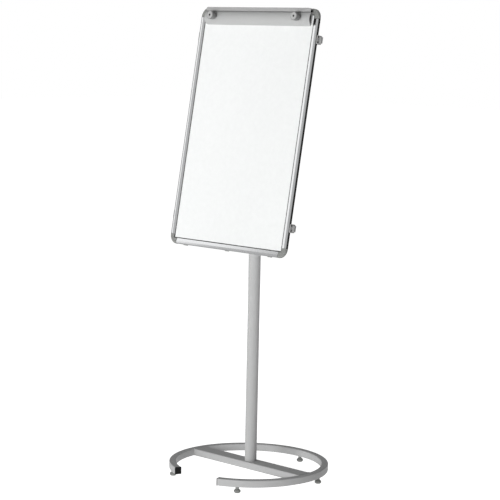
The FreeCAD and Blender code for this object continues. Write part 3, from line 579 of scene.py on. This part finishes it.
# %% [markdown]
# ## The studs' ends
#
# The dark end of the stud shows in the hole of each pad knob's cap. It is a short cylinder whose
# front rim is rounded, and it rides on the knob, so that it stays in the hole.

# %% Model a stud's end
STUD_END_RADIUS, STUD_END_DEPTH = 0.0042, 0.0016
STUD_END_MIDDLE, STUD_END_ROUND = 0.0010, 0.0006
stud_end = add_cylinder(STUD_END_RADIUS, STUD_END_DEPTH, (0, -STUD_END_MIDDLE, 0), FRONTWARDS)
edit(stud_end)
choose(stud_end, "EDGE",
       lambda edge, middle: middle.y < -STUD_END_MIDDLE - 0.4 * STUD_END_DEPTH)
bpy.ops.mesh.bevel(offset=STUD_END_ROUND, segments=3, affect="EDGES")
fresh()
for side, place in PAD_KNOB_FACES.items():
    keep(copied(stud_end, place), "pad_stud_end_" + side, black_plastic, "pad_knob_" + side)
bpy.data.objects.remove(stud_end)
print("stud ends:", len(PAD_KNOB_FACES))

# %% [markdown]
# ## The arms' ends
#
# Each paper arm is closed by a short moulded end, which has the arm's outline at its root and is
# drawn in a little towards its face. It is a cube on the end of the arm: the outer face is made
# smaller for the draw, its middle is inset and pressed in, and the rim is rounded. One end is
# modelled, and copied to the four arms, where it stands for the longer plain ends of the frame.

# %% Model one end
ARM_DEPTH, ARM_HEIGHT = 0.013, 0.028
REAR_RAIL_WALL, ARM_GAP = 0.003, 0.0004
ARM_FRONT = FRAME_DEPTH + REAR_RAIL_WALL + ARM_GAP
ARM_OUT = HALF_WIDTH + BEZEL_THICK + RUNNING_GAP
END_LENGTH, END_DRAW, END_ROUND = 0.0094, (1, 0.86, 0.88), 0.0014
END_RIM, END_STEP, END_SUNK = 0.0026, 0.0006, 0.0007
fresh()
bpy.ops.mesh.primitive_cube_add(size=1, location=(END_LENGTH / 2, 0, 0))
arm_end = bpy.context.object
arm_end.scale = (END_LENGTH, ARM_DEPTH, ARM_HEIGHT)
settle(arm_end)
edit(arm_end)
choose(arm_end, "FACE", lambda face, middle: face.normal.x > 0.9)
bpy.ops.transform.resize(value=END_DRAW, center_override=(END_LENGTH, 0, 0))
bpy.ops.mesh.inset(thickness=END_RIM, depth=0)
bpy.ops.mesh.inset(thickness=END_STEP, depth=-END_SUNK)
choose(arm_end, "EDGE", lambda edge, middle: middle.x > 0.99 * END_LENGTH
       and (abs(middle.z) > 0.42 * ARM_HEIGHT or abs(middle.y) > 0.42 * ARM_DEPTH))
bpy.ops.mesh.bevel(offset=END_ROUND, segments=3, affect="EDGES")
fresh()
print("arm end faces:", len(arm_end.data.polygons))

# %% Copy it to the four arms
for level, up in zip(("lower", "upper"), RAIL_CENTRES):
    for side, sign, angle in (("left", -1, 180), ("right", 1, 0)):
        body = "arm_%s_%s" % (level, side)
        place = (Matrix.Translation((sign * ARM_OUT, ARM_FRONT + ARM_DEPTH / 2, up))
                 @ turned(angle, "Z"))
        piece = keep(copied(arm_end, ON_BOARD @ place), "arm_end_%s_%s" % (level, side),
                     arm_plastic, body)
        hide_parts("arm_cap_%s_%s" % (level, side))
        print("arm end:", piece.name)
bpy.data.objects.remove(arm_end)

# %% [markdown]
# ## Caps on the clamp knobs
#
# The two star knobs behind the board have a grey cap each. It is made as the pad knobs' caps
# are, but its hole is smaller and no stud shows in it.

# %% Model and place them
COLLAR_REACH, STAR_KNOB_DEPTH = 0.042, 0.022
STAR_KNOB_BACK = COLLAR_REACH + RUNNING_GAP + STAR_KNOB_DEPTH
star_cap = make_cap(radius=0.0135, thick=0.0016, hole=0.0020)
height_place = Matrix.Translation((0, STAR_KNOB_BACK, joint_place("height_knob_turn").z))
keep(copied(star_cap, height_place @ FACING_BACK), "height_knob_cap", grey_plastic,
     "height_knob")
tilt_place = Matrix.Translation((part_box("tilt_knob")[1].x, 0, PIVOT.z))
keep(copied(star_cap, tilt_place @ turned(90, "Z")), "tilt_knob_cap", grey_plastic,
     "tilt_knob")
bpy.data.objects.remove(star_cap)
print("tilt knob's face at x =", round(tilt_place.translation.x, 4))

# %% [markdown]
# ## Ends of the hinge
#
# Black caps close the two ends of the groove in which the clamp bar turns. Each is a short
# cylinder with a bevelled outer rim.

# %% Model the hinge's end caps
HINGE_DROP, HINGE_OUT, STRIP_OVERLAP = 0.013, 0.0081, 0.004
HINGE_UP, STRIP_END = BOARD_HEIGHT - HINGE_DROP, RAIL_END + STRIP_OVERLAP
HINGE_CAP_RADIUS, HINGE_CAP_LENGTH, HINGE_CAP_ROUND = 0.0048, 0.0028, 0.0008
hinge_caps = []
for side in (-1, 1):
    end_cap = add_cylinder(HINGE_CAP_RADIUS, HINGE_CAP_LENGTH,
                           (side * (STRIP_END + HINGE_CAP_LENGTH / 2), -HINGE_OUT, HINGE_UP),
                           SIDEWAYS)
    edit(end_cap)
    choose(end_cap, "EDGE",
           lambda edge, middle: abs(middle.x) > STRIP_END + 0.9 * HINGE_CAP_LENGTH)
    bpy.ops.mesh.bevel(offset=HINGE_CAP_ROUND, segments=3, affect="EDGES")
    hinge_caps.append(settle(end_cap, ON_BOARD))
keep(joined(hinge_caps), "hinge_end_caps", black_plastic, "board")
print("hinge end caps:", len(hinge_caps))

# %% [markdown]
# ## Painted shade in the hinge's gap
#
# The bar's neck shows in the gap between the cap strip and the bar. A dark strip is laid on it
# as painted shade, so that the gap reads as one dark line, as its shade does. It is a long box
# whose two front edges are rounded by a bevel, and it turns with the bar.

# %% Model the strip
NECK_FRONT = -0.0091
SHADE_STRIP_DEPTH, SHADE_STRIP_HEIGHT, SHADE_STRIP_ROUND = 0.0028, 0.0031, 0.0010
SHADE_STRIP_DROP, SHADE_STRIP_SHORTER = 0.0043, 0.002
fresh()
bpy.ops.mesh.primitive_cube_add(size=1, location=(0, NECK_FRONT - SHADE_STRIP_DEPTH / 2,
                                                  HINGE_UP - SHADE_STRIP_DROP))
hinge_shade_strip = bpy.context.object
hinge_shade_strip.scale = (2 * STRIP_END - SHADE_STRIP_SHORTER, SHADE_STRIP_DEPTH, SHADE_STRIP_HEIGHT)
settle(hinge_shade_strip)
edit(hinge_shade_strip)
choose(hinge_shade_strip, "EDGE", lambda edge, middle: middle.y < NECK_FRONT - 0.9 * SHADE_STRIP_DEPTH
       and abs(middle.x) < 0.001)
bpy.ops.mesh.bevel(offset=SHADE_STRIP_ROUND, segments=4, affect="EDGES")
settle(hinge_shade_strip, ON_BOARD)
keep(hinge_shade_strip, "hinge_shade_strip", hinge_gap_painted_shade, "clamp_bar")
print("strip faces:", len(hinge_shade_strip.data.polygons))

# %% [markdown]
# ## Weld beads
#
# The crossbar is welded into the ring, and painted over. A bead runs over the top of each joint
# and down both sides. The top bead is an arc of a thin torus that follows the ring's inner face:
# a whole torus is added and cut by two planes with the Bisect operator. The side beads are thin
# upright cylinders with bevelled ends.

# %% Model the beads over the top
RING_TUBE = 0.028
BEAD_RADIUS, BEAD_SUNK, BEAD_OUT = 0.0024, 0.0006, 0.0004
ring_low, ring_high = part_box("base_ring")
bar_low, bar_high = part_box("crossbar")
ring_radius = (ring_high.x - ring_low.x) / 2
ring_inner = ring_radius - RING_TUBE
ring_middle = ring_high.y - ring_radius
fresh()
bpy.ops.mesh.primitive_torus_add(major_radius=ring_inner + BEAD_OUT, minor_radius=BEAD_RADIUS,
                                 major_segments=240, minor_segments=10,
                                 location=(0, ring_middle, bar_high.z - BEAD_SUNK))
bead = settle(bpy.context.object)
edit(bead)
for side in (bar_low.y, bar_high.y):
    bpy.ops.mesh.select_all(action="SELECT")
    bpy.ops.mesh.bisect(plane_co=(0, side, 0), plane_no=(0, math.copysign(1, side), 0),
                        use_fill=True, clear_outer=True)
print("ring's inner radius:", round(ring_inner, 4))

# %% Model the beads down the sides
SIDE_BEAD_RADIUS, SIDE_BEAD_SHORTER, SIDE_BEAD_ROUND = 0.0022, 0.004, 0.0012
bar_middle = (bar_high.z + bar_low.z) / 2
bead_height = bar_high.z - bar_low.z - SIDE_BEAD_SHORTER
beads = [bead]
for side in (bar_low.y, bar_high.y):
    reach = math.sqrt(ring_inner ** 2 - (side - ring_middle) ** 2)
    for end in (-1, 1):
        side_bead = add_cylinder(SIDE_BEAD_RADIUS, bead_height, (end * reach, side, bar_middle),
                                 UPRIGHT, vertices=12)
        edit(side_bead)
        choose(side_bead, "EDGE",
               lambda edge, middle: abs(middle.z - bar_middle) > 0.49 * bead_height)
        bpy.ops.mesh.bevel(offset=SIDE_BEAD_ROUND, segments=2, affect="EDGES")
        beads.append(side_bead)
keep(joined(beads), "weld_beads", base_paint, "base")
print("beads:", len(beads))

# %% [markdown]
# ## Wiper ring
#
# A soft ring sits on the collar round the inner tube and keeps dust out of the sliding fit. It
# is a torus, flattened a little.

# %% Model the wiper ring
WIPER_RADIUS, WIPER_ROUND, WIPER_LIFT, WIPER_FLATTEN = 0.0225, 0.0018, 0.0008, 0.7
collar_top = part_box("height_collar")[1].z
fresh()
bpy.ops.mesh.primitive_torus_add(major_radius=WIPER_RADIUS, minor_radius=WIPER_ROUND,
                                 major_segments=64, minor_segments=12,
                                 location=(0, 0, collar_top + WIPER_LIFT))
wiper = bpy.context.object
wiper.scale.z = WIPER_FLATTEN
keep(settle(wiper), "wiper_ring", rubber_and_painted_shade, "base")
print("collar top:", round(collar_top, 4))

# %% [markdown]
# ## The studio
#
# The easel stands on a plain white floor in front of nothing. The world is white to the camera
# and in reflections, and gives a softer fill to everything else. The floor glows too: nearly
# white to the camera, and weaker to the easel, as a broad lit floor does. A large key lamp
# stands in front of the board and lights the white sheet evenly. It is hidden from reflections,
# so that no rail shows it as a streak. A tall softbox at the left makes the light down the
# column, and is what the polished rails mirror along their length. A weaker lamp behind the
# easel gives the tubes and brackets of the back their shape.

# %% Floor
FLOOR_SIZE, FLOOR_DROP = 60, 0.0005
FLOOR_FILL, FLOOR_SEEN = 0.60, 0.92
fresh()
bpy.ops.mesh.primitive_plane_add(size=FLOOR_SIZE, location=(0, 0, -FLOOR_DROP))
floor = bpy.context.object
floor.name = "floor"
white_floor = new_finish("white_floor", specular=0.0)
floor_shader = white_floor.node_tree.nodes["Principled BSDF"]
floor_shader.inputs["Base Color"].default_value = (0.9, 0.9, 0.9, 1)
floor_shader.inputs["Roughness"].default_value = 0.9
floor_shader.inputs["Emission Color"].default_value = (1, 1, 1, 1)
floor_rays = add_node(white_floor, "ShaderNodeLightPath")
floor_glow = add_node(white_floor, "ShaderNodeMapRange", To_Min=FLOOR_FILL, To_Max=FLOOR_SEEN)
link(white_floor, floor_rays, "Is Camera Ray", floor_glow, "Value")
link(white_floor, floor_glow, "Result", floor_shader, "Emission Strength")
floor.data.materials.append(white_floor)
print("floor metres:", round(floor.dimensions.x, 1))

# %% World
WORLD_FILL, WORLD_SEEN = 0.15, 1.0
world = bpy.data.worlds.new("studio")
bpy.context.scene.world = world
world.use_nodes = True
world.node_tree.nodes.clear()
rays = add_node(world, "ShaderNodeLightPath")
mirrored = add_math(world, "MAXIMUM")
seen = add_math(world, "MAXIMUM")
strength = add_node(world, "ShaderNodeMapRange", To_Min=WORLD_FILL, To_Max=WORLD_SEEN)
background = add_node(world, "ShaderNodeBackground", Color=(1, 1, 1, 1))
output = add_node(world, "ShaderNodeOutputWorld")
link(world, rays, "Is Glossy Ray", mirrored, 0)
link(world, rays, "Is Transmission Ray", mirrored, 1)
link(world, rays, "Is Camera Ray", seen, 0)
link(world, mirrored, "Value", seen, 1)
link(world, seen, "Value", strength, "Value")
link(world, strength, "Result", background, "Strength")
link(world, background, "Background", output, "Surface")
print("world fill:", WORLD_FILL)

# %% Lamps
def add_lamp(name, place, target, width, height, watts, mirrored=True):
    """Add a rectangular lamp that looks at a target; mirrored says if gloss shows it."""
    light = bpy.data.lights.new(name, "AREA")
    light.shape = "RECTANGLE"
    light.size, light.size_y, light.energy = width, height, watts
    lamp = bpy.data.objects.new(name, light)
    bpy.context.collection.objects.link(lamp)
    lamp.location = place
    aim = Vector(target) - Vector(place)
    lamp.rotation_euler = aim.to_track_quat("-Z", "Y").to_euler()
    lamp.visible_glossy = mirrored
    print(name, watts, "W")


add_lamp("key_lamp", place=(1.1, -6.0, 1.25), target=(0, 0, 1.5), width=2.4, height=1.6,
         watts=212, mirrored=False)
add_lamp("rear_fill", place=(-1.7, 5.2, 1.5), target=(0, 0, 1.2), width=2.4, height=2.0,
         watts=70, mirrored=False)
add_lamp("side_softbox", place=(-4.18, -2.42, 2.4), target=(0, 0, 1.4), width=2.5, height=2.8,
         watts=26)

# %% [markdown]
# ## The camera
#
# A long lens from about seven metres, a little above eye height and 44 degrees to the right of
# the board's front, gives the quiet perspective of a catalogue view. The camera is tipped down
# by 7 degrees and rolled by about one degree. Its matrix is built from its own right, up and
# back directions.

# %% Camera
CAMERA_DISTANCE = 7.364
CAMERA_HEIGHT = 1.862
CAMERA_AZIMUTH = math.radians(43.84)
CAMERA_HEADING = math.radians(43.998)
CAMERA_PITCH = math.radians(7.08)
CAMERA_ROLL = math.radians(1.16)
FOCAL_LENGTH, SENSOR_WIDTH = 128.7, 36  # in millimetres

camera_data = bpy.data.cameras.new("camera")
camera_data.lens = FOCAL_LENGTH
camera_data.sensor_width = SENSOR_WIDTH
camera = bpy.data.objects.new("camera", camera_data)
bpy.context.collection.objects.link(camera)
look = Vector((-math.sin(CAMERA_HEADING) * math.cos(CAMERA_PITCH),
               math.cos(CAMERA_HEADING) * math.cos(CAMERA_PITCH), -math.sin(CAMERA_PITCH)))
right = Vector((math.cos(CAMERA_HEADING), math.sin(CAMERA_HEADING), 0))
up = right.cross(look)
rolled_right = right * math.cos(CAMERA_ROLL) + up * math.sin(CAMERA_ROLL)
rolled_up = up * math.cos(CAMERA_ROLL) - right * math.sin(CAMERA_ROLL)
camera_place = Vector((CAMERA_DISTANCE * math.sin(CAMERA_AZIMUTH),
                       -CAMERA_DISTANCE * math.cos(CAMERA_AZIMUTH), CAMERA_HEIGHT))
camera_turn = Matrix((rolled_right, rolled_up, -look)).transposed().to_4x4()
camera.matrix_world = Matrix.Translation(camera_place) @ camera_turn
bpy.context.scene.camera = camera
bpy.context.scene.view_settings.view_transform = "Standard"
print("camera at:", tuple(round(part, 3) for part in camera_place))
